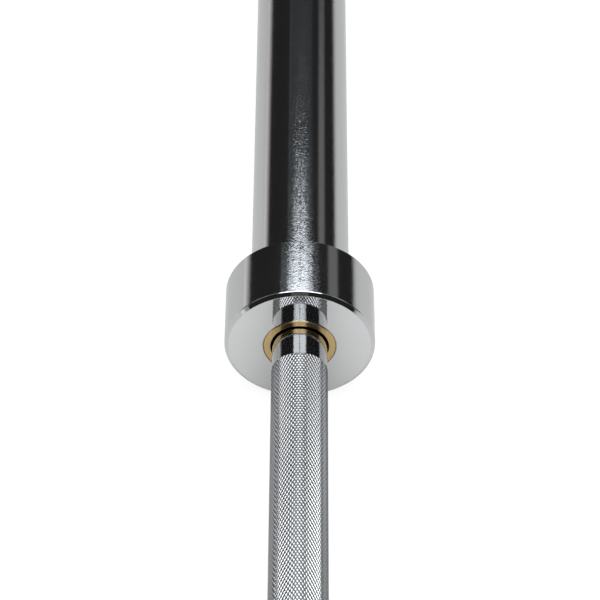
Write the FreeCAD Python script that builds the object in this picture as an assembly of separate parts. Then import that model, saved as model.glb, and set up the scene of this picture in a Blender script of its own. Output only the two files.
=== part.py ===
"""Olympic barbell: one knurled steel shaft that carries a spinning plate sleeve at each end.

The bar lies along X with its middle at the origin and Z up. Each sleeve is a turned tube with a
thick collar pressed onto its inner end. It turns on two bronze bushes, and is held on the shaft
by a shoulder, two thrust washers and a snap ring, behind a sealed end cap.

Places along one end of the bar are stations: distances from the collar's inner face, outwards.
All lengths are in millimetres and all angles in degrees.
"""

import FreeCAD, Part
import os
from math import asin, cos, degrees, radians, sin, tan

# Whole bar
bar_length = 2200.0
grip_length = 1310.0

# Shaft and its grip pattern
shaft_diameter = 27.6
knurl_rise = 0.3
neck_length = 17.3
grip_mark_spacing = 910.0
grip_mark_width = 5.0
inner_knurl_length = 245.0
centre_knurl_length = 120.0

# Shaft end, turned down to a journal for the outer bush
shoulder_height = 1.3
shaft_end_gap = 5.0
shaft_end_land = 4.0
shaft_end_chamfer = 1.0
shaft_groove_depth = 0.55

# Collar
collar_diameter = 75.5
collar_thickness = 37.5
collar_lip = 10.0
collar_chamfer_length = 1.75
collar_chamfer_height = 1.94
collar_back_chamfer = 0.6
collar_relief_gap = 0.05

# Sleeve tube
sleeve_diameter = 50.0
sleeve_spigot_wall = 3.0
sleeve_bore_gap = 2.65
sleeve_undercut_width = 1.0
sleeve_undercut_depth = 1.0
sleeve_end_lip = 4.0
sleeve_end_chamfer = 1.5
sleeve_mouth_chamfer = 0.5

# Bronze bushes
bush_wall = 4.3
bush_running_gap = 0.1
bush_end_float = 0.3
bush_edge_chamfer = 0.4
inner_bush_length = 45.0
outer_bush_length = 30.0
bush_relief_width = 0.8
bush_relief_depth = 4.0

# Thrust washers
washer_thickness = 2.0
washer_bore_gap = 0.1
washer_rim_gap = 0.5

# Fit of both kinds of snap ring in their grooves
ring_seat_gap = 0.05

# Snap ring on the shaft
shaft_ring_thickness = 1.2
shaft_ring_width = 3.0
shaft_ring_lug_radius = 2.4
shaft_ring_lug_inset = 0.2
shaft_ring_hole_radius = 1.0
shaft_ring_half_opening = 8.0

# End cap and its seal
cap_thickness = 5.0
cap_bore_step = 1.0
cap_rim_gap = 0.1
cap_rim_width = 7.0
cap_dish_depth = 0.8
cap_edge_chamfer = 0.4
seal_section = 2.4
seal_gap = 0.05

# Snap ring that holds the end cap
cap_groove_depth = 1.0
cap_ring_thickness = 1.75
cap_ring_width = 3.4
cap_ring_lug_radius = 2.6
cap_ring_lug_inset = 1.4
cap_ring_hole_radius = 1.2
cap_ring_half_opening = 7.0

# One overrun serves every cut that passes right through
cut_overrun = 1.0

# Radii that neighbouring pieces share
shaft_radius = shaft_diameter / 2
knurl_radius = shaft_radius + knurl_rise
journal_radius = shaft_radius - shoulder_height
shaft_groove_radius = journal_radius - shaft_groove_depth
inner_bush_bore = shaft_radius + bush_running_gap
outer_bush_bore = journal_radius + bush_running_gap
bush_seat = inner_bush_bore + bush_wall
spigot_radius = bush_seat + sleeve_spigot_wall
sleeve_bore = shaft_radius + sleeve_bore_gap
sleeve_radius = sleeve_diameter / 2
cap_bore = bush_seat + cap_bore_step
cap_groove_radius = cap_bore + cap_groove_depth
collar_radius = collar_diameter / 2

# Stations, from the collar and then inwards from the end of the sleeve to the shaft's shoulder
collar_face = grip_length / 2
spigot_end = collar_thickness - sleeve_undercut_width
sleeve_end = bar_length / 2 - collar_face
cap_groove_end = sleeve_end - sleeve_end_lip
cap_groove_start = cap_groove_end - cap_ring_thickness - 2 * ring_seat_gap
cap_seat = cap_groove_start - cap_thickness
shaft_end = cap_seat - shaft_end_gap
shaft_groove_end = shaft_end - shaft_end_land
shaft_groove_start = shaft_groove_end - shaft_ring_thickness - 2 * ring_seat_gap
shaft_ring_start = shaft_groove_start + ring_seat_gap
outer_bush_end = shaft_ring_start - washer_thickness - bush_end_float
outer_bush_start = outer_bush_end - outer_bush_length
inner_washer_end = outer_bush_start - bush_end_float
shaft_shoulder = inner_washer_end - washer_thickness

ORIGIN = FreeCAD.Vector(0, 0, 0)
BAR_AXIS = FreeCAD.Vector(1, 0, 0)
UPRIGHT = FreeCAD.Vector(0, 0, 1)
FULL_TURN = 360
HALF_TURN = 180


def lathe(outline):
    """Turns a closed outline of (place along the bar, radius) points about the bar's axis."""
    points = [FreeCAD.Vector(along, 0, radius) for along, radius in outline]
    wire = Part.makePolygon(points + points[:1])
    return Part.Face(wire).revolve(ORIGIN, BAR_AXIS, FULL_TURN)


def turned(outline):
    """Turns an outline of (station, radius) points at the right-hand end of the bar."""
    return lathe([(collar_face + station, radius) for station, radius in outline])


def disc(station, thickness, radius, across=0, up=0):
    """A plain disc that faces along the bar, its centre moved across and up from the axis."""
    centre = FreeCAD.Vector(collar_face + station, across, up)
    return Part.makeCylinder(radius, thickness, centre, BAR_AXIS)


def make_shaft():
    """The one-piece shaft: knurl bands, plain grip marks, necks, shoulders and ring grooves."""
    knurl_end = collar_face - neck_length
    mark_start = grip_mark_spacing / 2
    mark_end = mark_start + grip_mark_width
    inner_knurl_start = mark_start - inner_knurl_length
    centre_knurl_end = centre_knurl_length / 2
    shoulder = collar_face + shaft_shoulder
    groove_start = collar_face + shaft_groove_start
    groove_end = collar_face + shaft_groove_end
    end = collar_face + shaft_end
    right_half = [
        (centre_knurl_end, knurl_radius),
        (centre_knurl_end, shaft_radius),
        (inner_knurl_start, shaft_radius),
        (inner_knurl_start, knurl_radius),
        (mark_start, knurl_radius),
        (mark_start, shaft_radius),
        (mark_end, shaft_radius),
        (mark_end, knurl_radius),
        (knurl_end, knurl_radius),
        (knurl_end, shaft_radius),
        (shoulder, shaft_radius),
        (shoulder, journal_radius),
        (groove_start, journal_radius),
        (groove_start, shaft_groove_radius),
        (groove_end, shaft_groove_radius),
        (groove_end, journal_radius),
        (end - shaft_end_chamfer, journal_radius),
        (end, journal_radius - shaft_end_chamfer),
        (end, 0),
    ]
    left_half = [(-along, radius) for along, radius in reversed(right_half)]
    return lathe(left_half + right_half)


def make_collar():
    """The thick collar: a lip round the inner bush, and a bore pressed onto the tube's spigot.

    The back of the bore is opened out so that a plate can lie flat against the collar.
    """
    relief_radius = sleeve_radius + collar_relief_gap
    return turned([
        (0, bush_seat),
        (0, collar_radius - collar_chamfer_height),
        (collar_chamfer_length, collar_radius),
        (collar_thickness - collar_back_chamfer, collar_radius),
        (collar_thickness, collar_radius - collar_back_chamfer),
        (collar_thickness, relief_radius),
        (spigot_end, relief_radius),
        (spigot_end, spigot_radius),
        (collar_lip, spigot_radius),
        (collar_lip, bush_seat),
    ])


def make_sleeve_tube():
    """The plate sleeve: a tube with a spigot, two bush seats, a cap seat and a ring groove.

    Its shoulder seats inside the back of the collar, under a narrow turned undercut.
    """
    undercut_radius = sleeve_radius - sleeve_undercut_depth
    return turned([
        (collar_lip, bush_seat),
        (collar_lip, spigot_radius),
        (spigot_end, spigot_radius),
        (spigot_end, undercut_radius),
        (collar_thickness, undercut_radius),
        (collar_thickness, sleeve_radius),
        (sleeve_end - sleeve_end_chamfer, sleeve_radius),
        (sleeve_end, sleeve_radius - sleeve_end_chamfer),
        (sleeve_end, cap_bore + sleeve_mouth_chamfer),
        (sleeve_end - sleeve_mouth_chamfer, cap_bore),
        (cap_groove_end, cap_bore),
        (cap_groove_end, cap_groove_radius),
        (cap_groove_start, cap_groove_radius),
        (cap_groove_start, cap_bore),
        (cap_seat, cap_bore),
        (cap_seat, bush_seat),
        (outer_bush_start, bush_seat),
        (outer_bush_start, sleeve_bore),
        (inner_bush_length, sleeve_bore),
        (inner_bush_length, bush_seat),
    ])


def make_inner_bush():
    """The bronze bush that shows flush in the collar's face, with a relief round its mouth."""
    relief_radius = inner_bush_bore + bush_relief_width
    return turned([
        (0, relief_radius),
        (0, bush_seat - bush_edge_chamfer),
        (bush_edge_chamfer, bush_seat),
        (inner_bush_length, bush_seat),
        (inner_bush_length, inner_bush_bore),
        (bush_relief_depth, inner_bush_bore),
        (bush_relief_depth, relief_radius),
    ])


def make_outer_bush():
    """The bronze bush on the journal, pressed against the step at the end of the tube's bore."""
    return turned([
        (outer_bush_start, outer_bush_bore),
        (outer_bush_start, bush_seat),
        (outer_bush_end - bush_edge_chamfer, bush_seat),
        (outer_bush_end, bush_seat - bush_edge_chamfer),
        (outer_bush_end, outer_bush_bore),
    ])


def make_thrust_washer(end):
    """A flat steel washer on the journal, with its outer face at the station given."""
    start = end - washer_thickness
    bore = journal_radius + washer_bore_gap
    rim = sleeve_bore - washer_rim_gap
    return turned([(start, bore), (start, rim), (end, rim), (end, bore)])


def make_inner_washer():
    """The thrust washer between the shaft's shoulder and the outer bush."""
    return make_thrust_washer(inner_washer_end)


def make_outer_washer():
    """The thrust washer between the outer bush and the snap ring on the shaft."""
    return make_thrust_washer(shaft_ring_start)


def open_ring(start, thickness, inner, outer, lug_centre, lug_radius, hole_radius, half_opening):
    """A flat snap ring, open at the bottom, with a drilled plier lug beside each of its ends."""
    back = start - cut_overrun
    depth = thickness + 2 * cut_overrun
    reach = outer + cut_overrun
    half_width = reach * tan(radians(half_opening))
    corners = [(0, 0), (half_width, -reach), (-half_width, -reach), (0, 0)]
    wedge = [FreeCAD.Vector(collar_face + back, across, up) for across, up in corners]
    opening = Part.Face(Part.makePolygon(wedge)).extrude(BAR_AXIS * depth)
    ring = disc(start, thickness, outer).cut(disc(back, depth, inner)).cut(opening)
    lug_angle = radians(half_opening + degrees(asin(lug_radius / lug_centre)))
    for hand in (-1, 1):
        across = hand * lug_centre * sin(lug_angle)
        up = -lug_centre * cos(lug_angle)
        ring = ring.fuse(disc(start, thickness, lug_radius, across, up))
        ring = ring.cut(disc(back, depth, hole_radius, across, up))
    return ring.removeSplitter().Solids[0]


def make_shaft_snap_ring():
    """The outside snap ring in the journal's groove, with its lugs outside the groove."""
    inner = shaft_groove_radius + ring_seat_gap
    lug_centre = inner + shaft_ring_lug_inset + shaft_ring_lug_radius
    return open_ring(shaft_ring_start, shaft_ring_thickness, inner, inner + shaft_ring_width,
                     lug_centre, shaft_ring_lug_radius, shaft_ring_hole_radius,
                     shaft_ring_half_opening)


def make_end_cap():
    """The disc that closes the sleeve, with a dished face and a groove for its seal."""
    rim = cap_bore - cap_rim_gap
    dish = rim - cap_rim_width
    face = cap_groove_start
    middle = cap_seat + cap_thickness / 2
    groove_half = seal_section / 2 + seal_gap
    groove_root = cap_bore - seal_section - 2 * seal_gap
    return turned([
        (cap_seat, 0),
        (cap_seat, rim - cap_edge_chamfer),
        (cap_seat + cap_edge_chamfer, rim),
        (middle - groove_half, rim),
        (middle - groove_half, groove_root),
        (middle + groove_half, groove_root),
        (middle + groove_half, rim),
        (face - cap_edge_chamfer, rim),
        (face, rim - cap_edge_chamfer),
        (face, dish),
        (face - cap_dish_depth, dish - cap_dish_depth),
        (face - cap_dish_depth, 0),
    ])


def make_end_cap_seal():
    """The round rubber ring in the cap's groove."""
    centre = FreeCAD.Vector(collar_face + cap_seat + cap_thickness / 2, 0, 0)
    section = seal_section / 2
    return Part.makeTorus(cap_bore - seal_gap - section, section, centre, BAR_AXIS)


def make_cap_snap_ring():
    """The inside snap ring that holds the end cap, with its lugs inside the bore."""
    outer = cap_groove_radius - ring_seat_gap
    lug_centre = outer - cap_ring_lug_inset - cap_ring_lug_radius
    return open_ring(cap_groove_start + ring_seat_gap, cap_ring_thickness, outer - cap_ring_width,
                     outer, lug_centre, cap_ring_lug_radius, cap_ring_hole_radius,
                     cap_ring_half_opening)


END_PIECES = {
    "collar": make_collar,
    "sleeve_tube": make_sleeve_tube,
    "inner_bush": make_inner_bush,
    "outer_bush": make_outer_bush,
    "inner_thrust_washer": make_inner_washer,
    "outer_thrust_washer": make_outer_washer,
    "shaft_snap_ring": make_shaft_snap_ring,
    "end_cap": make_end_cap,
    "end_cap_seal": make_end_cap_seal,
    "end_cap_snap_ring": make_cap_snap_ring,
}

os.makedirs("parts", exist_ok=True)
make_shaft().exportStep("parts/shaft.step")
for name, make_piece in END_PIECES.items():
    piece = make_piece()
    piece.exportStep(f"parts/right_{name}.step")
    piece.rotate(ORIGIN, UPRIGHT, HALF_TURN)
    piece.exportStep(f"parts/left_{name}.step")
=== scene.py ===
"""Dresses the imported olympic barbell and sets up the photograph's view of one of its ends.

The frame gives the bodies and the places along the bar. A turned piece is an outline carried round
the bar's axis with its edges rounded, and a knurl is a lattice of diamonds on the shaft's surface.
Lengths are in metres. Stations are distances from a collar's inner face, outwards along the bar.
"""
import logging
import math
from dataclasses import dataclass, field
from enum import Enum
from typing import Optional, Union

import bpy
import numpy as np
from mathutils import Matrix, Vector


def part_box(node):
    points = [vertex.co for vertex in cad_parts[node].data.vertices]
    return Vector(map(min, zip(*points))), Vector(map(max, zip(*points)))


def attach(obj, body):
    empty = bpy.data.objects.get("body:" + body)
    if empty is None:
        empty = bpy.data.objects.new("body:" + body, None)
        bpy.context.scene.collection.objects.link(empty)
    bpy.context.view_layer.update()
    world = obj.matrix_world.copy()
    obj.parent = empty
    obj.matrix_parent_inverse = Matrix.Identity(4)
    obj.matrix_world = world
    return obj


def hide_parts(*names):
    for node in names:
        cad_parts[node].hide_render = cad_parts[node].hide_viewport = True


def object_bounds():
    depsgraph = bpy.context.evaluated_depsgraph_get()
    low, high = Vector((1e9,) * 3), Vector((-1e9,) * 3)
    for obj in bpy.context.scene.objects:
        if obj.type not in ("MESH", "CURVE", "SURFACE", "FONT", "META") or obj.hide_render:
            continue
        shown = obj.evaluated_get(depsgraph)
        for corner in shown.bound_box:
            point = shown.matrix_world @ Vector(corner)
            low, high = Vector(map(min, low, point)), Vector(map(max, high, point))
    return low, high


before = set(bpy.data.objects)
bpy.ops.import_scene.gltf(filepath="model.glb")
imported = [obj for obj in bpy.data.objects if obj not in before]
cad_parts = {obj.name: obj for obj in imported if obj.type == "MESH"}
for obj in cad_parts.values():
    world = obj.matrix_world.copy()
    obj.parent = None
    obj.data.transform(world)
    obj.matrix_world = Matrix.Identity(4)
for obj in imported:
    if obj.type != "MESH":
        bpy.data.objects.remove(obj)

CAD_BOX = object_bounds()
LOG = logging.getLogger("barbell")

Value = Union["Signal", float, tuple]
Colour = tuple[float, float, float, float]
Triple = tuple[float, float, float]
Span = tuple[float, float]


class Slot(Enum):
    """The record's material slots."""

    SHAFT = "shaft_chrome"
    COLLAR = "collar_chrome"
    SLEEVE = "sleeve_chrome"
    BUSH = "bush_bronze"
    CAP = "cap_chrome"


class End(Enum):
    """The two ends of the bar: the sign of their places along X and Y."""

    RIGHT = 1.0
    LEFT = -1.0

    @property
    def label(self) -> str:
        """The word that starts the names of this end's pieces."""
        return self.name.lower()


class Tint(Enum):
    """The colours of the lamps."""

    WHITE = (1.0, 1.0, 1.0)
    COOL = (0.94, 0.97, 1.0)
    COLD = (0.85, 0.92, 1.0)
    BLUE = (0.82, 0.91, 1.0)
    WARM = (1.0, 0.96, 0.92)


class Detail(Enum):
    """How many finer sizes of a noise are laid over its first one."""

    PLAIN = 0.0
    FAINT = 1.0
    FINE = 2.0
    RICH = 3.0


class Signal:
    """One output of a node. Arithmetic on it adds Math nodes to the same tree."""

    def __init__(self, nodes: "Nodes", socket: bpy.types.NodeSocket) -> None:
        """Keeps the socket and the writer of its tree."""
        self.nodes = nodes
        self.socket = socket

    def output(self, name: str) -> "Signal":
        """Another output of the same node."""
        return Signal(self.nodes, self.socket.node.outputs[name])

    def __add__(self, other: Value) -> "Signal":
        """This value plus another."""
        return self.nodes.maths("ADD", self, other)

    __radd__ = __add__

    def __sub__(self, other: Value) -> "Signal":
        """This value less another."""
        return self.nodes.maths("SUBTRACT", self, other)

    def __rsub__(self, other: Value) -> "Signal":
        """Another value less this one."""
        return self.nodes.maths("SUBTRACT", other, self)

    def __mul__(self, other: Value) -> "Signal":
        """This value times another."""
        return self.nodes.maths("MULTIPLY", self, other)

    def __truediv__(self, other: Value) -> "Signal":
        """This value over another."""
        return self.nodes.maths("DIVIDE", self, other)

    def __rtruediv__(self, other: Value) -> "Signal":
        """Another value over this one."""
        return self.nodes.maths("DIVIDE", other, self)

    def __pow__(self, other: Value) -> "Signal":
        """This value to a power."""
        return self.nodes.maths("POWER", self, other)

    def __abs__(self) -> "Signal":
        """This value without its sign."""
        return self.nodes.maths("ABSOLUTE", self, 0.0)


class Nodes:
    """Writes the nodes of one material or of the world."""

    def __init__(self, tree: bpy.types.NodeTree) -> None:
        """Starts the tree afresh."""
        tree.nodes.clear()
        self.tree = tree

    def add(self, kind: str, settings: Optional[dict] = None, sockets: Optional[dict] = None,
            output: Union[int, str] = 0) -> Optional[Signal]:
        """Adds a node of any type.

        Args:
            kind: the node's type.
            settings: the node's own settings, which are set first.
            sockets: a value or a signal for each input, by name or number.
            output: the output that is wanted.

        Returns:
            That output, or None for a node without outputs.
        """
        node = self.tree.nodes.new(kind)
        for name, value in (settings or {}).items():
            setattr(node, name, value)
        for key, value in (sockets or {}).items():
            if isinstance(value, Signal):
                self.tree.links.new(value.socket, node.inputs[key])
            else:
                node.inputs[key].default_value = value
        return Signal(self, node.outputs[output]) if node.outputs else None

    def maths(self, operation: str, first: Value, second: Value) -> Signal:
        """Adds one Math node."""
        return self.add("ShaderNodeMath", {"operation": operation}, {0: first, 1: second})

    def ramp(self, value: Signal, low: float, high: float) -> Signal:
        """A smooth step from 0 at low to 1 at high."""
        sockets = {"Value": value, "From Min": low, "From Max": high}
        return self.add("ShaderNodeMapRange", {"interpolation_type": "SMOOTHSTEP"}, sockets)

    def blend(self, factor: Signal, first: Value, second: Value) -> Signal:
        """A colour between two others, by a Mix node's factor, A and B."""
        return self.add("ShaderNodeMix", {"data_type": "RGBA"}, {0: factor, 6: first, 7: second}, 2)

    def noise(self, place: Signal, detail: Detail, scale: float = 1.0) -> Signal:
        """Noise from 0 to 1 about a middle of 0.5."""
        sockets = {"Vector": place, "Scale": scale, "Detail": detail.value}
        return self.add("ShaderNodeTexNoise", None, sockets)

    def vector(self, x: Value, y: Value, z: Value) -> Signal:
        """A vector from three values."""
        return self.add("ShaderNodeCombineXYZ", None, {0: x, 1: y, 2: z})

    def shade(self, colour: Value, roughness: Value, height: Signal, metallic: float,
              edge_tint: float) -> None:
        """Adds a material's one shader and its output.

        Args:
            colour: what the surface reflects.
            roughness: its roughness.
            height: the height in metres of what tilts it.
            metallic: 1 for a metal and 0 for all else.
            edge_tint: how much of the brightening at a grazing view is left.
        """
        sockets = {
            "Base Color": colour,
            "Metallic": metallic,
            "Roughness": roughness,
            "Normal": self.add("ShaderNodeBump", None, {"Strength": 1.0, "Distance": 1.0, "Height": height}),
            "Specular Tint": (edge_tint,) * 3 + (1.0,),
        }
        shader = self.add("ShaderNodeBsdfPrincipled", None, sockets)
        self.add("ShaderNodeOutputMaterial", None, {"Surface": shader})


def new_material(name: str) -> tuple[bpy.types.Material, Nodes]:
    """Makes an empty material.

    Args:
        name: the material's name.

    Returns:
        The material and the writer of its nodes.
    """
    material = bpy.data.materials.new(name)
    material.use_nodes = True
    return material, Nodes(material.node_tree)


@dataclass(frozen=True)
class TurnedMetal:
    """A turned and polished metal.

    Flecks that lie round the bar's axis and fine turning rings tilt its surface, and soft patches
    vary its gloss. The flecks fade out inside a given radius, as on a collar's mirror face. Inside
    another radius a bore is painted dark, as painted shade.

    Attributes:
        name: the material's name.
        colour: what it reflects.
        roughness: its mean roughness.
        patchiness: how far the roughness strays from its mean.
        patch_scale: how many patches there are in a metre.
        fleck_width: a fleck's size along the outline.
        fleck_length: a fleck's size round the axis.
        fleck_depth: the height of the flecks.
        ring_width: the pitch of the turning rings.
        ring_depth: the height of the turning rings.
        mirror_radius: the radius inside which the flecks fade out.
        mirror_blend: the radius at which they are whole, as a share of that radius.
        mirror_roughness: the roughness inside that radius.
        painted_shade_radius: the radius inside which a bore is painted dark, as painted shade in its gap.
        painted_shade_blend: the radius at which the painted shade ends, as a share of that radius.
        painted_shade_colour: the colour of the painted shade in the bore.
        edge_tint: how much of the brightening at a grazing view is left.
    """

    name: str
    colour: Colour
    roughness: float
    patchiness: float = 0.02
    patch_scale: float = 70.0
    fleck_width: float = 0.00036
    fleck_length: float = 0.0008
    fleck_depth: float = 0.0
    ring_width: float = 0.0003
    ring_depth: float = 0.0
    mirror_radius: float = 0.0
    mirror_blend: float = 1.01
    mirror_roughness: float = 0.04
    painted_shade_radius: float = 0.0
    painted_shade_blend: float = 1.004
    painted_shade_colour: Colour = (0.02, 0.015, 0.01, 1.0)
    edge_tint: float = 0.75

    def material(self) -> bpy.types.Material:
        """Writes the material: a height in metres made of flecks and rings tilts the normal.

        Returns:
            The material.
        """
        material, nodes = new_material(self.name)
        place = nodes.add("ShaderNodeTexCoord", output="Object")
        x = nodes.add("ShaderNodeSeparateXYZ", None, {0: place}, "X")
        y = x.output("Y")
        z = x.output("Z")
        radius = (y * y + z * z) ** 0.5
        outline = abs(x) + radius
        fleck_place = nodes.vector(outline / self.fleck_width, y / self.fleck_length, z / self.fleck_length)
        rings = nodes.noise(nodes.vector(outline / self.ring_width, 0.0, 0.0), Detail.FAINT)
        height = nodes.noise(fleck_place, Detail.PLAIN) * self.fleck_depth
        patches = nodes.noise(place, Detail.RICH, self.patch_scale) - 0.5
        roughness = self.roughness + patches * (2.0 * self.patchiness)
        if self.mirror_radius:
            rim = nodes.ramp(radius, self.mirror_radius, self.mirror_radius * self.mirror_blend)
            height = height * rim
            roughness = self.mirror_roughness + rim * (roughness - self.mirror_roughness)
        height = height + rings * self.ring_depth
        colour = self.colour
        # Painted shade: inside this radius the bore is painted dark, standing in for the shadow in the gap
        # round the shaft.
        if self.painted_shade_radius:
            unshaded = nodes.ramp(radius, self.painted_shade_radius, self.painted_shade_radius * self.painted_shade_blend)
            colour = nodes.blend(unshaded, self.painted_shade_colour, self.colour)
        nodes.shade(colour, roughness, height, metallic=1.0, edge_tint=self.edge_tint)
        return material


@dataclass(frozen=True)
class KnurledMetal:
    """Chrome over a rolled knurl: bright tops, and grooves that are darker and rougher towards their
    bottoms.

    Attributes:
        name: the material's name.
        colour: what the tops reflect.
        groove_colour: what the bottoms of the grooves reflect.
        roughness: the roughness of the tops.
        groove_roughness: the roughness of the grooves.
        low_radius: the radius at the bottom of a groove.
        high_radius: the radius at which the groove's dullness ends.
        edge_tint: how much of the brightening at a grazing view is left.
        patch_scale: how many patches with more or less dullness there are in a metre.
        patch_height: how far the end of the dullness strays in them.
        grain_scale: how many grains there are in a metre.
        grain_depth: the height of the grain.
    """

    name: str
    colour: Colour
    groove_colour: Colour
    roughness: float
    groove_roughness: float
    low_radius: float
    high_radius: float
    edge_tint: float = 0.2
    patch_scale: float = 900.0
    patch_height: float = 0.0001
    grain_scale: float = 2500.0
    grain_depth: float = 0.00001

    def material(self) -> bpy.types.Material:
        """Writes the material: the distance from the axis says how deep in a groove a point is.

        Returns:
            The material.
        """
        material, nodes = new_material(self.name)
        place = nodes.add("ShaderNodeTexCoord", output="Object")
        y = nodes.add("ShaderNodeSeparateXYZ", None, {0: place}, "Y")
        z = y.output("Z")
        radius = (y * y + z * z) ** 0.5
        patches = nodes.noise(place, Detail.RICH, self.patch_scale) - 0.5
        top = nodes.ramp(radius + patches * self.patch_height, self.low_radius, self.high_radius)
        grain = nodes.noise(place, Detail.FINE, self.grain_scale)
        colour = nodes.blend(top, self.groove_colour, self.colour)
        roughness = self.groove_roughness + top * (self.roughness - self.groove_roughness)
        nodes.shade(colour, roughness, grain * self.grain_depth, metallic=1.0, edge_tint=self.edge_tint)
        return material


@dataclass(frozen=True)
class Rubber:
    """Black rubber with a fine moulded grain.

    Attributes:
        name: the material's name.
        colour: its colour.
        roughness: its mean roughness.
        spread: the range of its roughness over the grain.
        grain_scale: how many grains there are in a metre.
        grain_depth: the height of the grain.
    """

    name: str
    colour: Colour
    roughness: float
    spread: float = 0.2
    grain_scale: float = 1800.0
    grain_depth: float = 0.00004

    def material(self) -> bpy.types.Material:
        """Writes the material: noise varies its roughness and its fine grain.

        Returns:
            The material.
        """
        material, nodes = new_material(self.name)
        place = nodes.add("ShaderNodeTexCoord", output="Object")
        grain = nodes.noise(place, Detail.RICH, self.grain_scale)
        roughness = self.roughness + (grain - 0.5) * self.spread
        nodes.shade(self.colour, roughness, grain * self.grain_depth, metallic=0.0, edge_tint=1.0)
        return material


@dataclass
class Surface:
    """A mesh as whole arrays.

    Attributes:
        points: one row for each vertex.
        faces: arrays of vertex numbers, one array for each count of corners.
        normals: one row for each vertex or for each corner of a face, or None for flat facets.
    """

    points: np.ndarray
    faces: list[np.ndarray]
    normals: Optional[np.ndarray] = None

    def at(self, end: End) -> "Surface":
        """Turns the surface half round about Z for the left end."""
        turn = np.array([end.value, end.value, 1.0])
        return Surface(self.points * turn, self.faces, self.normals * turn)

    def make(self, name: str, material: bpy.types.Material) -> bpy.types.Object:
        """Makes the object.

        Args:
            name: the object's name.
            material: its finish.

        Returns:
            The object, at the origin.
        """
        mesh = bpy.data.meshes.new(name)
        corners = np.concatenate([face.ravel() for face in self.faces]).astype(np.int32)
        counts = np.concatenate([np.full(len(face), face.shape[1]) for face in self.faces])
        starts = (np.cumsum(counts) - counts).astype(np.int32)
        mesh.vertices.add(len(self.points))
        mesh.vertices.foreach_set("co", self.points.astype(np.float32).ravel())
        mesh.loops.add(len(corners))
        mesh.loops.foreach_set("vertex_index", corners)
        mesh.polygons.add(len(starts))
        mesh.polygons.foreach_set("loop_start", starts)
        smooth = self.normals is not None
        mesh.polygons.foreach_set("use_smooth", np.full(len(starts), smooth))
        mesh.update(calc_edges=True)
        mesh.validate()
        if smooth and len(self.normals) == len(self.points):
            mesh.normals_split_custom_set_from_vertices(self.normals.tolist())
        elif smooth:
            mesh.normals_split_custom_set(self.normals.tolist())
        mesh.materials.append(material)
        made = bpy.data.objects.new(name, mesh)
        bpy.context.collection.objects.link(made)
        return made


@dataclass(frozen=True)
class TurnedOutline:
    """An outline beside the bar's axis that is carried round it.

    Its corners run clockwise when X points right and the radius up, so that the outside is on the
    left of the direction of travel.

    Attributes:
        corners: (place along X, radius, rounding) of each corner.
        whole: True for an outline that closes on itself, False for one that starts and ends at a
            flat disc round the axis.
        columns: how many copies of the outline stand round the axis.
        arc_steps: how many points round off a corner.
    """

    corners: list[Triple]
    whole: bool = True
    columns: int = 256
    arc_steps: int = 5

    def rounded(self) -> tuple[np.ndarray, np.ndarray]:
        """Rounds the corners.

        At a corner the path turns by some angle. Its arc starts before the corner by the rounding
        times the tangent of half that angle, and its normal turns evenly through the angle.

        Returns:
            The (along, radius) points and their outward normals.
        """
        table = np.array(self.corners)
        points = table[:, :2]
        rounding = table[:, 2]
        arrive = points - np.roll(points, 1, axis=0)
        leave = np.roll(points, -1, axis=0) - points
        if not self.whole:
            arrive[0] = leave[0]
            leave[-1] = arrive[-1]
        arrive /= np.linalg.norm(arrive, axis=1, keepdims=True)
        leave /= np.linalg.norm(leave, axis=1, keepdims=True)
        cross = arrive[:, 0] * leave[:, 1] - arrive[:, 1] * leave[:, 0]
        angle = np.arctan2(cross, (arrive * leave).sum(axis=1))
        start = points - arrive * (rounding * np.tan(np.abs(angle) / 2))[:, None]
        sweep = angle[:, None] * np.linspace(0.0, 1.0, self.arc_steps)
        left = np.stack([-arrive[:, 1], arrive[:, 0]], axis=1)
        upright = left[:, None, :] * np.cos(sweep)[..., None]
        normals = upright - arrive[:, None, :] * np.sin(sweep)[..., None]
        reach = (np.sign(angle) * rounding)[:, None]
        arcs = (start + left * reach)[:, None, :] - normals * reach[..., None]
        keep = np.ones(sweep.shape, dtype=bool)
        if not self.whole:
            keep[0, 1:] = False
            keep[-1, 1:] = False
        return arcs[keep], normals[keep]

    def surface(self) -> Surface:
        """Carries the rounded outline round the axis: a point at (along, radius) goes to
        (along, radius cos angle, radius sin angle), and its normal turns with it.

        Returns:
            The surface of the whole piece.
        """
        outline, slope = self.rounded()
        rows = len(outline)
        angle = np.linspace(0.0, 2.0 * np.pi, self.columns, endpoint=False)
        ring = np.stack([np.ones_like(angle), np.cos(angle), np.sin(angle)], axis=1)
        points = outline[:, None, [0, 1, 1]] * ring
        normals = slope[:, None, [0, 1, 1]] * ring
        index = np.arange(rows * self.columns).reshape(rows, self.columns)
        after = np.roll(index, -1, axis=0)
        beside = np.roll(index, -1, axis=1)
        corner = np.roll(after, -1, axis=1)
        quads = np.stack([index, beside, corner, after], axis=2)
        if self.whole:
            faces = [quads.reshape(-1, 4)]
        else:
            faces = [quads[:-1].reshape(-1, 4), index[:1, ::-1], index[-1:]]
        return Surface(points.reshape(-1, 3), faces, normals.reshape(-1, 3))


SEAM = 0.00003


def step(along: float, *radii: float) -> list[Triple]:
    """The corners of a sharp step in an outline, from radius to radius at one place."""
    return [(along, radius, SEAM) for radius in radii]


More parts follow.
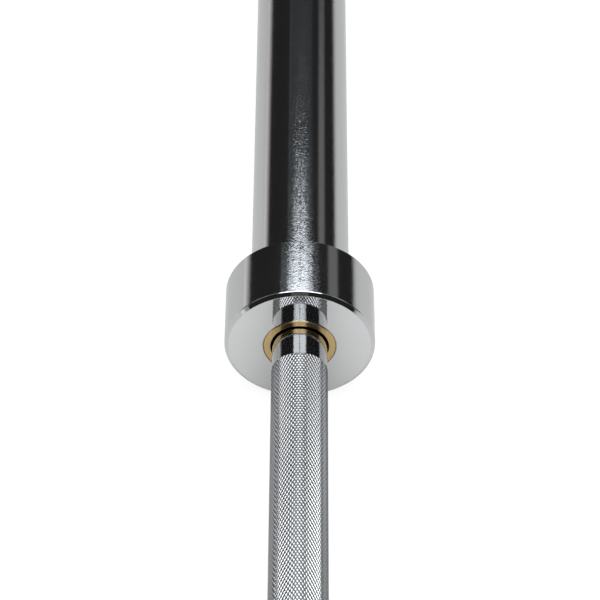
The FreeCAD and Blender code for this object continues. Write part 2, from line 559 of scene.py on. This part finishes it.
@dataclass(frozen=True)
class KnurlBand:
    """One band of rolled diamonds round the shaft.

    Two families of grooves wind round the shaft in opposite directions. A point's place in them is
    (a, b), counted in grooves: a + b goes round the shaft and a - b goes along it.

    Attributes:
        name: the piece's name.
        start: where the band begins along X.
        finish: where it ends.
        crest_radius: the radius of the diamonds' tops.
        seat_radius: the radius of the band's hidden inside.
        grooves: how many grooves of each family go round the shaft.
        pitch: a diamond's wanted length along the shaft.
        first_share: half the width of the first family's grooves, as a share of their pitch.
        second_share: the same for the second family.
        first_slope: how steep the sides of the first family's grooves are.
        second_slope: the same for the second family.
        crown: how far the middle of a diamond's top stands above its corners.
        softness: how round the crests are shaded: the lean from a facet's own normal to the mean ones.
    """

    name: str
    start: float
    finish: float
    crest_radius: float
    seat_radius: float
    grooves: int = 49
    pitch: float = 0.00311
    first_share: float = 0.21
    second_share: float = 0.185
    first_slope: float = 0.80
    second_slope: float = 0.66
    crown: float = 0.000045
    softness: float = 0.3

    def surface(self) -> Surface:
        """Works out the band on a grid of quarter steps of both families.

        A row and a column of the grid stand for a = (column + row) / 4 and b = (column - row) / 4.
        Quarter steps are drawn to the edges of the grooves, points on a whole number of either
        family lie at the bottom of a groove and all others on a top. A groove is as deep as half its
        width times the slope of its sides, and the deeper one counts where two cross. A cell is split
        along the diagonal that follows a groove's bottom or a top's edge.

        Returns:
            The closed band, shaded with worn crests and sharp grooves.
        """
        length = self.finish - self.start
        halves = round(2.0 * length / self.pitch)
        pitch = 2.0 * length / halves
        rows = 2 * halves + 1
        columns = 4 * self.grooves
        row = np.arange(rows)[:, None]
        column = np.arange(columns)[None, :]
        total = column + row
        gap = column - row
        first = total // 4 + np.array([0.0, self.first_share, 0.5, 1.0 - self.first_share])[total % 4]
        second = gap // 4 + np.array([0.0, self.second_share, 0.5, 1.0 - self.second_share])[gap % 4]
        along = self.start + (first - second) * pitch / 2.0
        angle = (first + second) * np.pi / self.grooves
        around = 2.0 * np.pi * self.crest_radius / self.grooves
        spacing = around * pitch / math.hypot(around, pitch)
        first_depth = np.where(total % 4 == 0, self.first_share * spacing * self.first_slope, 0.0)
        second_depth = np.where(gap % 4 == 0, self.second_share * spacing * self.second_slope, 0.0)
        middle = (total % 4 == 2) & (gap % 4 == 2)
        top = np.where(middle, self.crest_radius, self.crest_radius - self.crown)
        radius = top - np.maximum(first_depth, second_depth)
        along = np.concatenate([along[:1], along, along[-1:]])
        angle = np.concatenate([angle[:1], angle, angle[-1:]])
        inside = np.full((1, columns), self.seat_radius)
        radius = np.concatenate([inside, radius, inside])
        points = np.stack([along, radius * np.cos(angle), radius * np.sin(angle)], axis=2)
        index = np.arange(points.shape[0] * columns).reshape(-1, columns)
        after = np.roll(index, -1, axis=0)
        beside = np.roll(index, -1, axis=1)
        corner = np.roll(after, -1, axis=1)
        even = total % 2 == 0
        straight = np.where(even, gap % 4 == 0, (total + 1) % 4 != 0)
        plain = np.ones((1, columns), dtype=bool)
        straight = np.concatenate([plain, straight, plain])
        low = np.stack([index, beside, np.where(straight, corner, after)], axis=2)
        high = np.stack([np.where(straight, index, beside), corner, after], axis=2)
        facets = np.concatenate([low.reshape(-1, 3), high.reshape(-1, 3)])
        lean = np.zeros(index.shape)
        lean[1:-1] = np.where((total % 4 == 0) | (gap % 4 == 0), 0.0, self.softness)
        points = points.reshape(-1, 3)
        return Surface(points, [facets], self.shading(points, facets, lean.ravel()))

    @staticmethod
    def shading(points: np.ndarray, facets: np.ndarray, lean: np.ndarray) -> np.ndarray:
        """Shades the facets.

        At each of its corners a facet's normal leans from its own to the mean of the facets that meet
        there, each counted by its area.

        Args:
            points: one row for each vertex.
            facets: the vertex numbers of each triangle.
            lean: how far the normals lean at each vertex, from 0 to 1.

        Returns:
            A normal for each corner of each facet.
        """
        start = points[facets[:, 0]]
        tilt = np.cross(points[facets[:, 1]] - start, points[facets[:, 2]] - start)
        mean = np.zeros_like(points)
        np.add.at(mean, facets, tilt[:, None, :])
        tilt /= np.linalg.norm(tilt, axis=1, keepdims=True)
        mean /= np.linalg.norm(mean, axis=1, keepdims=True)
        share = lean[facets][..., None]
        normals = tilt[:, None, :] * (1.0 - share) + mean[facets] * share
        return normals.reshape(-1, 3)


def dress(piece: bpy.types.Object, body: str, slot: Slot, *nodes: str) -> None:
    """Puts a piece on its body, in place of CAD nodes.

    Args:
        piece: the finished piece.
        body: the body that carries it.
        slot: not used.
        nodes: the CAD nodes that it replaces.
    """
    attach(piece, body)
    if nodes:
        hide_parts(*nodes)
    LOG.info("%s: %d faces on %s", piece.name, len(piece.data.polygons), body)


CHROME: Colour = (0.575, 0.58, 0.585, 1.0)
SHAFT_RADIUS = 0.0138
CREST_RADIUS = 0.0141
GROOVE_RADIUS = 0.01379

NECK_FINISH = TurnedMetal("polished_chrome", CHROME, roughness=0.07, patchiness=0.015, fleck_width=0.0005,
                          fleck_length=0.0005, fleck_depth=0.000022, edge_tint=1.0)
COLLAR_FINISH = TurnedMetal("collar_turned_chrome", CHROME, roughness=0.10, fleck_width=0.00026,
                            fleck_length=0.0013, fleck_depth=0.000017, mirror_radius=0.0372)
SLEEVE_FINISH = TurnedMetal("sleeve_turned_chrome", CHROME, roughness=0.11, fleck_width=0.0002,
                            fleck_length=0.0011, fleck_depth=0.00002)
CAP_FINISH = TurnedMetal("cap_turned_chrome", CHROME, roughness=0.14, ring_depth=0.000006)
BRONZE_FINISH = TurnedMetal("turned_bronze", (0.54, 0.39, 0.19, 1.0), roughness=0.21, patchiness=0.05,
                            ring_depth=0.000004, painted_shade_radius=0.01473)
STEEL_FINISH = TurnedMetal("ground_steel", (0.42, 0.42, 0.43, 1.0), roughness=0.3, ring_depth=0.000004)
SPRING_FINISH = TurnedMetal("blackened_spring_steel", (0.09, 0.09, 0.1, 1.0), roughness=0.35,
                            patchiness=0.08, fleck_depth=0.00003)
KNURL_FINISH = KnurledMetal("knurled_chrome", CHROME, (0.3, 0.3, 0.305, 1.0), roughness=0.13,
                            groove_roughness=0.3, low_radius=GROOVE_RADIUS, high_radius=0.01386)
SEAL_FINISH = Rubber("seal_black_rubber", (0.02, 0.02, 0.02, 1.0), roughness=0.6)


@dataclass
class Shaft:
    """The turned shaft with its five knurl bands, grip marks and necks.

    The knurls and marks are placed from the middle of the bar, and the neck, the shoulder, the ring's
    groove and the end from the collar's face.
    """

    collar_face: float
    radius: float = SHAFT_RADIUS
    seat_radius: float = 0.0135
    centre_knurl: float = 0.060
    inner_knurl: float = 0.210
    mark_start: float = 0.455
    mark_end: float = 0.460
    neck: float = 0.0173
    shoulder: float = 0.3893
    journal_radius: float = 0.0125
    groove_start: float = 0.42385
    groove_end: float = 0.42515
    groove_radius: float = 0.01195
    shaft_end: float = 0.42915
    end_chamfer: float = 0.001
    edge: float = 0.0002
    columns: int = 192
    body: str = "shaft"

    def outline(self) -> TurnedOutline:
        """The core's outline: the right half and its mirror image, stepped in under the knurl."""
        knurl_end = self.collar_face - self.neck
        shoulder = self.collar_face + self.shoulder
        groove_start = self.collar_face + self.groove_start
        groove_end = self.collar_face + self.groove_end
        end = self.collar_face + self.shaft_end
        right = [
            *step(self.centre_knurl, self.seat_radius, self.radius),
            *step(self.inner_knurl, self.radius, self.seat_radius),
            *step(self.mark_start, self.seat_radius, self.radius),
            *step(self.mark_end, self.radius, self.seat_radius),
            *step(knurl_end, self.seat_radius, self.radius),
            (shoulder, self.radius, self.edge),
            (shoulder, self.journal_radius, self.edge),
            *step(groove_start, self.journal_radius, self.groove_radius),
            *step(groove_end, self.groove_radius, self.journal_radius),
            (end - self.end_chamfer, self.journal_radius, self.edge),
            (end, self.journal_radius - self.end_chamfer, self.edge),
            (end, self.end_chamfer, 0.0),
        ]
        left = [(-along, radius, rounding) for along, radius, rounding in reversed(right)]
        return TurnedOutline(left + right, whole=False, columns=self.columns)

    def bands(self) -> list[KnurlBand]:
        """The knurl bands from left to right."""
        knurl_end = self.collar_face - self.neck
        spans = [
            ("left_outer_knurl", -knurl_end, -self.mark_end),
            ("left_inner_knurl", -self.mark_start, -self.inner_knurl),
            ("centre_knurl", -self.centre_knurl, self.centre_knurl),
            ("right_inner_knurl", self.inner_knurl, self.mark_start),
            ("right_outer_knurl", self.mark_end, knurl_end),
        ]
        return [
            KnurlBand(name, start, finish, CREST_RADIUS, self.seat_radius)
            for name, start, finish in spans
        ]

    def build(self) -> None:
        """Makes the core in place of the CAD shaft, and the bands on it."""
        core = self.outline().surface().make("shaft_core", NECK_FINISH.material())
        dress(core, self.body, Slot.SHAFT, "shaft")
        knurled = KNURL_FINISH.material()
        for band in self.bands():
            dress(band.surface().make(band.name, knurled), self.body, Slot.SHAFT)


@dataclass
class SleeveFinishes:
    """The materials that both sleeves share."""

    collar: bpy.types.Material = field(default_factory=COLLAR_FINISH.material)
    tube: bpy.types.Material = field(default_factory=SLEEVE_FINISH.material)
    bush: bpy.types.Material = field(default_factory=BRONZE_FINISH.material)
    cap: bpy.types.Material = field(default_factory=CAP_FINISH.material)
    washer: bpy.types.Material = field(default_factory=STEEL_FINISH.material)
    ring: bpy.types.Material = field(default_factory=SPRING_FINISH.material)
    seal: bpy.types.Material = field(default_factory=SEAL_FINISH.material)


@dataclass
class SleeveAssembly:
    """One end of the bar: collar, sleeve tube, bronze bush and end cap, with the hidden CAD pieces."""

    end: End
    finishes: SleeveFinishes
    collar_face: float
    collar_radius: float = 0.03775
    collar_thickness: float = 0.0375
    collar_lip: float = 0.010
    chamfer_length: float = 0.00175
    chamfer_height: float = 0.00194
    face_rounding: float = 0.0004
    rim_rounding: float = 0.00065
    bore_rounding: float = 0.0006
    face_fall: float = 0.0002
    back_chamfer: float = 0.0006
    chamfer_rounding: float = 0.0004
    relief_radius: float = 0.02505
    bush_seat: float = 0.0182
    spigot_radius: float = 0.0212
    spigot_end: float = 0.0365
    undercut_radius: float = 0.0240
    tube_radius: float = 0.0250
    tube_bore: float = 0.01645
    tube_end: float = 0.4450
    tube_chamfer: float = 0.0015
    mouth_chamfer: float = 0.0005
    cap_bore: float = 0.0192
    cap_groove_radius: float = 0.0202
    cap_groove_start: float = 0.43915
    cap_groove_end: float = 0.4410
    cap_seat: float = 0.43415
    cap_rim_gap: float = 0.0001
    cap_edge: float = 0.0004
    cap_dish_radius: float = 0.0121
    cap_dish_depth: float = 0.0008
    seal_half: float = 0.00125
    seal_root: float = 0.0167
    outer_bush_start: float = 0.3916
    bush_bore: float = 0.0139
    bush_relief_radius: float = 0.0147
    bush_relief_depth: float = 0.0040
    bush_edge: float = 0.0005
    bush_length: float = 0.0450
    edge: float = 0.00015

    @property
    def body(self) -> str:
        """The body that turns on this end of the shaft."""
        return f"{self.end.label}_sleeve"

    def turned(self, corners: list[Triple], whole: bool = True) -> Surface:
        """Turns an outline of (station, radius, rounding) corners at this end of the bar."""
        placed = [(self.collar_face + station, radius, rounding) for station, radius, rounding in corners]
        return TurnedOutline(placed, whole).surface().at(self.end)

    def collar(self) -> Surface:
        """The thick collar: its polished face falls back a little to a bright rounded chamfer."""
        return self.turned([
            (0.0, self.bush_seat, self.bore_rounding),
            (self.face_fall, self.collar_radius - self.chamfer_height, self.face_rounding),
            (self.chamfer_length, self.collar_radius, self.rim_rounding),
            (self.collar_thickness - self.back_chamfer, self.collar_radius, self.edge),
            (self.collar_thickness, self.collar_radius - self.back_chamfer, self.edge),
            (self.collar_thickness, self.relief_radius, self.edge),
            (self.spigot_end, self.relief_radius, self.edge),
            (self.spigot_end, self.spigot_radius, SEAM),
            *step(self.collar_lip, self.spigot_radius, self.bush_seat),
        ])

    def tube(self) -> Surface:
        """The plate sleeve with its spigot, seats, undercut, end chamfer and ring groove."""
        return self.turned([
            *step(self.collar_lip, self.bush_seat, self.spigot_radius),
            *step(self.spigot_end, self.spigot_radius, self.undercut_radius),
            *step(self.collar_thickness, self.undercut_radius, self.tube_radius),
            (self.tube_end - self.tube_chamfer, self.tube_radius, self.chamfer_rounding),
            (self.tube_end, self.tube_radius - self.tube_chamfer, self.chamfer_rounding),
            (self.tube_end, self.cap_bore + self.mouth_chamfer, self.edge),
            (self.tube_end - self.mouth_chamfer, self.cap_bore, self.edge),
            *step(self.cap_groove_end, self.cap_bore, self.cap_groove_radius),
            *step(self.cap_groove_start, self.cap_groove_radius, self.cap_bore),
            *step(self.cap_seat, self.cap_bore, self.bush_seat),
            *step(self.outer_bush_start, self.bush_seat, self.tube_bore),
            *step(self.bush_length, self.tube_bore, self.bush_seat),
        ])

    def bush(self) -> Surface:
        """The bronze bush that lies flush in the collar's face."""
        return self.turned([
            (0.0, self.bush_relief_radius, SEAM),
            (0.0, self.bush_seat - self.bush_edge, self.edge),
            (self.bush_edge, self.bush_seat, self.edge),
            *step(self.bush_length, self.bush_seat, self.bush_bore),
            *step(self.bush_relief_depth, self.bush_bore, self.bush_relief_radius),
        ])

    def cap(self) -> Surface:
        """The end cap: a groove for its seal round the rim and a shallow dish in its face."""
        rim = self.cap_bore - self.cap_rim_gap
        face = self.cap_groove_start
        middle = (self.cap_seat + face) / 2.0
        return self.turned([
            (self.cap_seat, self.cap_dish_depth, 0.0),
            (self.cap_seat, rim - self.cap_edge, self.edge),
            (self.cap_seat + self.cap_edge, rim, self.edge),
            *step(middle - self.seal_half, rim, self.seal_root),
            *step(middle + self.seal_half, self.seal_root, rim),
            (face - self.cap_edge, rim, self.edge),
            (face, rim - self.cap_edge, self.edge),
            (face, self.cap_dish_radius, self.chamfer_rounding),
            (face - self.cap_dish_depth, self.cap_dish_radius - self.cap_dish_depth, self.chamfer_rounding),
            (face - self.cap_dish_depth, self.cap_dish_depth, 0.0),
        ], whole=False)

    def build(self) -> None:
        """Makes the pieces that show and gives the hidden CAD pieces their finishes."""
        label = self.end.label
        pieces = [
            ("collar", self.collar(), self.finishes.collar, Slot.COLLAR),
            ("sleeve_tube", self.tube(), self.finishes.tube, Slot.SLEEVE),
            ("inner_bush", self.bush(), self.finishes.bush, Slot.BUSH),
            ("end_cap", self.cap(), self.finishes.cap, Slot.CAP),
        ]
        for name, surface, material, slot in pieces:
            made = surface.make(f"{label}_turned_{name}", material)
            dress(made, self.body, slot, f"{label}_{name}")
        hidden = {
            "outer_bush": self.finishes.bush,
            "inner_thrust_washer": self.finishes.washer,
            "outer_thrust_washer": self.finishes.washer,
            "shaft_snap_ring": self.finishes.ring,
            "end_cap_seal": self.finishes.seal,
            "end_cap_snap_ring": self.finishes.ring,
        }
        for name, material in hidden.items():
            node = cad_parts[f"{label}_{name}"]
            node.data.materials.clear()
            node.data.materials.append(material)
            LOG.info("%s: carried over from CAD", node.name)


DOWN: Triple = (0.0, 0.0, -1.0)
ACROSS: Triple = (0.0, 1.0, 0.0)


@dataclass(frozen=True)
class Softbox:
    """A plain rectangular studio lamp.

    Attributes:
        name: the lamp's name.
        centre: its middle.
        facing: the direction that it shines in.
        along: its size along its side.
        across: its other size.
        radiance: how bright its surface looks, where 1 is white.
        tint: its colour.
        side: the direction of its first size.
    """

    name: str
    centre: Triple
    facing: Triple
    along: float
    across: float
    radiance: float
    tint: Tint = Tint.WHITE
    side: Triple = (1.0, 0.0, 0.0)

    def hang(self) -> None:
        """Hangs the lamp, whose power is its radiance times its area and pi."""
        lamp = bpy.data.lights.new(self.name, "AREA")
        lamp.shape = "RECTANGLE"
        lamp.size = self.along
        lamp.size_y = self.across
        lamp.color = self.tint.value
        lamp.energy = self.radiance * math.pi * self.along * self.across
        holder = bpy.data.objects.new(self.name, lamp)
        back = -Vector(self.facing).normalized()
        side = Vector(self.side)
        rotation = Matrix((side, back.cross(side), back)).transposed()
        holder.matrix_world = Matrix.Translation(self.centre) @ rotation.to_4x4()
        holder.visible_camera = False
        bpy.context.collection.objects.link(holder)
        LOG.info("%s hung", self.name)


@dataclass
class Studio:
    """The pale floor, the white surroundings and the lamps.

    Places of the overhead panels and of the walls along the bar are distances from the photographed
    collar's face, outwards, and places aside from it are distances from the bar's axis.
    """

    collar_face: float
    floor_height: float
    floor_size: float = 40.0
    floor_glow: float = 0.88
    floor_albedo: float = 0.13
    floor_green: float = 0.985
    floor_blue: float = 0.965
    mirrored_albedo: float = 0.43
    painted_glow_rise: float = 0.25
    painted_glow_reach: float = 0.05
    room_glow: float = 0.028
    ambient: float = 1.0
    box_height: float = 1.2
    box_back: float = 1.33
    box_over: float = 0.90
    box_wall: float = 0.60
    box_bright: float = 0.085
    box_dim: float = 0.11
    box_middle: float = 0.30
    box_step: float = 0.85
    box_ahead: float = 1.06
    box_front: float = 1.135
    box_core: float = 0.25
    box_flank: float = 0.4
    box_wing: float = 0.66
    box_half: float = 0.62
    box_right: float = 0.66
    back_slit: float = 0.025
    back_half: float = 0.56
    end_slit: float = 0.02
    card_length: float = 1.1
    rail_width: float = 0.03
    side_distance: float = 1.1
    side_split: float = 0.5
    side_front: float = 0.8
    side_dim: float = 0.15
    side_skew: float = 0.04
    side_low_glow: float = 0.1
    side_high_glow: float = 0.12
    side_ahead_glow: float = 0.6

    def floor(self) -> None:
        """Lays the floor: it looks white to the camera and takes a faint shadow.

        In metal it carries a painted pool of light: paler under the bar and a little greyer to the sides,
        by one over one plus the square of the distance from the bar, and its shadow is full.
        """
        half = self.floor_size / 2.0
        square = np.array([[-half, -half], [half, -half], [half, half], [-half, half]])
        points = np.column_stack([square, np.full(len(square), self.floor_height)])
        material, nodes = new_material("studio_floor")
        seen = nodes.add("ShaderNodeLightPath", output="Is Camera Ray")
        mirrored = seen.output("Is Glossy Ray")
        direct = seen + seen.output("Is Transmission Ray")
        place = nodes.add("ShaderNodeTexCoord", output="Object")
        aside = nodes.add("ShaderNodeSeparateXYZ", None, {0: place}, "Y") / self.painted_glow_reach
        glow = nodes.add("ShaderNodeEmission", None, {"Strength": direct * self.floor_glow})
        # Painted light: in metal the floor's colour rises near the bar, a pool of light that falls off to
        # the sides.
        albedo_and_painted_glow = self.mirrored_albedo + self.painted_glow_rise / (1.0 + aside * aside)
        albedo = self.floor_albedo + mirrored * (albedo_and_painted_glow - self.floor_albedo)
        tint = nodes.vector(albedo, albedo * self.floor_green, albedo * self.floor_blue)
        matt = nodes.add("ShaderNodeBsdfDiffuse", None, {"Color": tint})
        both = nodes.add("ShaderNodeAddShader", None, {0: glow, 1: matt})
        nodes.add("ShaderNodeOutputMaterial", None, {"Surface": both})
        Surface(points, [np.array([[0, 1, 2, 3]])]).make("studio_floor", material)

    def surroundings(self) -> None:
        """Sets up the world: white to the camera, dark in metal and even for matt surfaces."""
        world = bpy.data.worlds.new("studio")
        world.use_nodes = True
        world.cycles.sampling_method = "NONE"
        nodes = Nodes(world.node_tree)
        camera = nodes.add("ShaderNodeLightPath", output="Is Camera Ray")
        camera_through = camera + camera.output("Is Transmission Ray")
        glossy = camera.output("Is Glossy Ray")
        rest = 1.0 - camera_through - glossy
        strength = camera_through + glossy * self.room_glow + rest * self.ambient
        glow = nodes.add("ShaderNodeBackground", None, {"Strength": strength})
        nodes.add("ShaderNodeOutputWorld", None, {"Surface": glow})
        bpy.context.scene.world = world

    def panel(self, name: str, along: Span, aside: Span, radiance: float, tint: Tint = Tint.COOL) -> Softbox:
        """An overhead panel between two places along the bar and two aside from it, which shines down."""
        centre = (self.collar_face + sum(along) / 2.0, sum(aside) / 2.0, self.box_height)
        return Softbox(name, centre, DOWN, along[1] - along[0], aside[1] - aside[0], radiance, tint)

    def pair(self, name: str, along: Span, aside: Span, **look: Union[float, Tint]) -> list[Softbox]:
        """An overhead panel on the left of the picture, where Y is above 0, and its mirror image."""
        sides = {"left": aside, "right": (-aside[1], -aside[0])}
        return [self.panel(f"{name}_{side}", along, span, **look) for side, span in sides.items()]

    def overhead(self) -> list[Softbox]:
        """Places the overhead panels at the photographed end.

        Returns:
            The panels.
        """
        wide = (-self.box_right, self.box_half)
        core = (-self.box_core, self.box_core)
        wall = (-self.box_wall, self.box_middle)
        back = (-self.box_back, -self.box_over)
        middle = (self.box_middle, self.box_ahead)
        end = (self.box_ahead, self.box_front)
        beyond = (self.box_front, self.box_front + self.card_length)
        left_edge = (self.box_half, self.side_distance)
        right_edge = (-self.side_distance, -self.box_right)
        card = (-self.box_half, self.box_half)
        edge = (self.box_flank, self.box_half)
        rail = (self.box_half, self.box_half + self.rail_width)
        return [
            self.panel("overhead_box", (-self.box_over, self.box_bright), wide, radiance=4.0),
            self.panel("overhead_box_ahead", (self.box_bright, self.box_dim), wide, radiance=2.2),
            self.panel("overhead_box_end", (self.box_dim, self.box_middle), wide, radiance=1.5),
            self.panel("overhead_side_left", wall, left_edge, radiance=0.1, tint=Tint.COLD),
            self.panel("overhead_side_right", wall, right_edge, radiance=0.1, tint=Tint.COLD),
            *self.pair("back_box", back, (self.back_slit, self.back_half), radiance=1.75),
            self.panel("front_box", (self.box_middle, self.box_step), core, radiance=2.0),
            self.panel("front_box_ahead", (self.box_step, self.box_ahead), core, radiance=4.8),
            *self.pair("front_box", middle, (self.box_core, self.box_flank), radiance=2.6),
            *self.pair("front_box_end", end, (self.end_slit, self.box_flank), radiance=2.5, tint=Tint.BLUE),
            *self.pair("front_box_wing", middle, (self.box_flank, self.box_wing), radiance=1.4),
            *self.pair("front_box_outer", middle, (self.box_wing, self.side_distance), radiance=0.4),
            *self.pair("front_box_edge", end, edge, radiance=0.45, tint=Tint.COLD),
            self.panel("forward_card", beyond, card, radiance=0.025, tint=Tint.COLD),
            self.panel("forward_rail", beyond, rail, radiance=0.12),
        ]

    def walls(self) -> list[Softbox]:
        """Places a dim wall on both sides of the photographed end, lighter high up and ahead.

        Returns:
            The parts of the walls.
        """
        parts = []
        for end in End:
            dim = self.side_dim + end.value * self.side_skew
            high = (self.side_split, self.box_height)
            shelves = [
                ("low", (-self.box_wall, self.side_front), (0.0, self.side_split), self.side_low_glow),
                ("high", (-self.box_wall, dim), high, self.side_high_glow),
                ("ahead", (dim, self.side_front), high, self.side_ahead_glow),
            ]
            for name, along, up, radiance in shelves:
                middle = self.collar_face + sum(along) / 2.0
                centre = (middle, end.value * self.side_distance, sum(up) / 2.0)
                parts.append(Softbox(f"{end.label}_side_box_{name}", centre, (0.0, -end.value, 0.0),
                                     along[1] - along[0], up[1] - up[0], radiance, Tint.COLD))
        return parts

    def cards(self) -> list[Softbox]:
        """Places the box over the far end and the cards that lighten the darks.

        Returns:
            The box and the cards.
        """
        return [
            Softbox("far_overhead_box", centre=(-0.91, 0.0, 0.5), facing=DOWN, along=0.58, across=1.0,
                    radiance=2.2, tint=Tint.COOL),
            Softbox("horizon_card", centre=(self.collar_face + 3.0, 0.0, 0.4), facing=(-1.0, 0.0, 0.0),
                    along=0.8, across=0.8, radiance=0.5, tint=Tint.COOL, side=ACROSS),
            Softbox("side_card", centre=(1.7, -1.254, 0.994), facing=(0.0, 1.254, -0.994), along=2.4,
                    across=0.45, radiance=0.17),
            Softbox("low_card", centre=(0.3, 0.6, 0.02), facing=(0.0, -1.0, 0.0), along=4.0, across=0.116,
                    radiance=0.42, tint=Tint.WARM),
            Softbox("back_card", centre=(-0.75, 0.0, 1.02), facing=(1.0, 0.0, 0.0), along=0.5, across=0.36,
                    radiance=0.09, tint=Tint.WARM, side=ACROSS),
        ]

    def build(self) -> None:
        """Sets up the floor, the surroundings and the lamps."""
        self.floor()
        self.surroundings()
        for lamp in self.overhead() + self.walls() + self.cards():
            lamp.hang()
        bpy.context.scene.view_settings.view_transform = "Standard"


@dataclass
class PhotoCamera:
    """The photograph's camera, fitted to the sleeve, the collar, the bush and the shaft.

    It looks along the bar and down on it. The collar's face lies ahead of it, a little to one side
    and below its axis.
    """

    collar_face: float
    focal_pixels: float = 2588.07
    frame_pixels: float = 600.0
    sensor: float = 36.0
    dip: float = math.radians(45.644)
    roll: float = math.radians(0.3516)
    face_right: float = -0.000165
    face_down: float = 0.023316
    face_ahead: float = 1.29451
    clip_near: float = 0.05
    clip_far: float = 100.0

    def build(self) -> None:
        """Places the camera from the directions that its picture's right, down and depth point in."""
        data = bpy.data.cameras.new("photo_camera")
        data.sensor_width = self.sensor
        data.lens = self.focal_pixels / self.frame_pixels * self.sensor
        data.clip_start = self.clip_near
        data.clip_end = self.clip_far
        ahead = Vector((math.cos(self.dip), 0.0, -math.sin(self.dip)))
        level_right = Vector((0.0, -1.0, 0.0))
        level_down = Vector((-math.sin(self.dip), 0.0, -math.cos(self.dip)))
        right = level_right * math.cos(self.roll) - level_down * math.sin(self.roll)
        down = level_down * math.cos(self.roll) + level_right * math.sin(self.roll)
        face = Vector((self.collar_face, 0.0, 0.0))
        eye = face - right * self.face_right - down * self.face_down - ahead * self.face_ahead
        camera = bpy.data.objects.new("photo_camera", data)
        rotation = Matrix((right, -down, -ahead)).transposed()
        camera.matrix_world = Matrix.Translation(eye) @ rotation.to_4x4()
        bpy.context.collection.objects.link(camera)
        bpy.context.scene.camera = camera
        LOG.info("camera placed at %s", eye)


def main() -> None:
    """Builds the shaft, both sleeves, the studio and the camera."""
    logging.basicConfig(level=logging.INFO, format="%(message)s")
    lowest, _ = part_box("right_collar")
    collar_face = lowest[0]
    Shaft(collar_face).build()
    finishes = SleeveFinishes()
    for end in End:
        SleeveAssembly(end, finishes, collar_face).build()
    Studio(collar_face, floor_height=CAD_BOX[0][2]).build()
    PhotoCamera(collar_face).build()


if __name__ == "__main__":
    main()
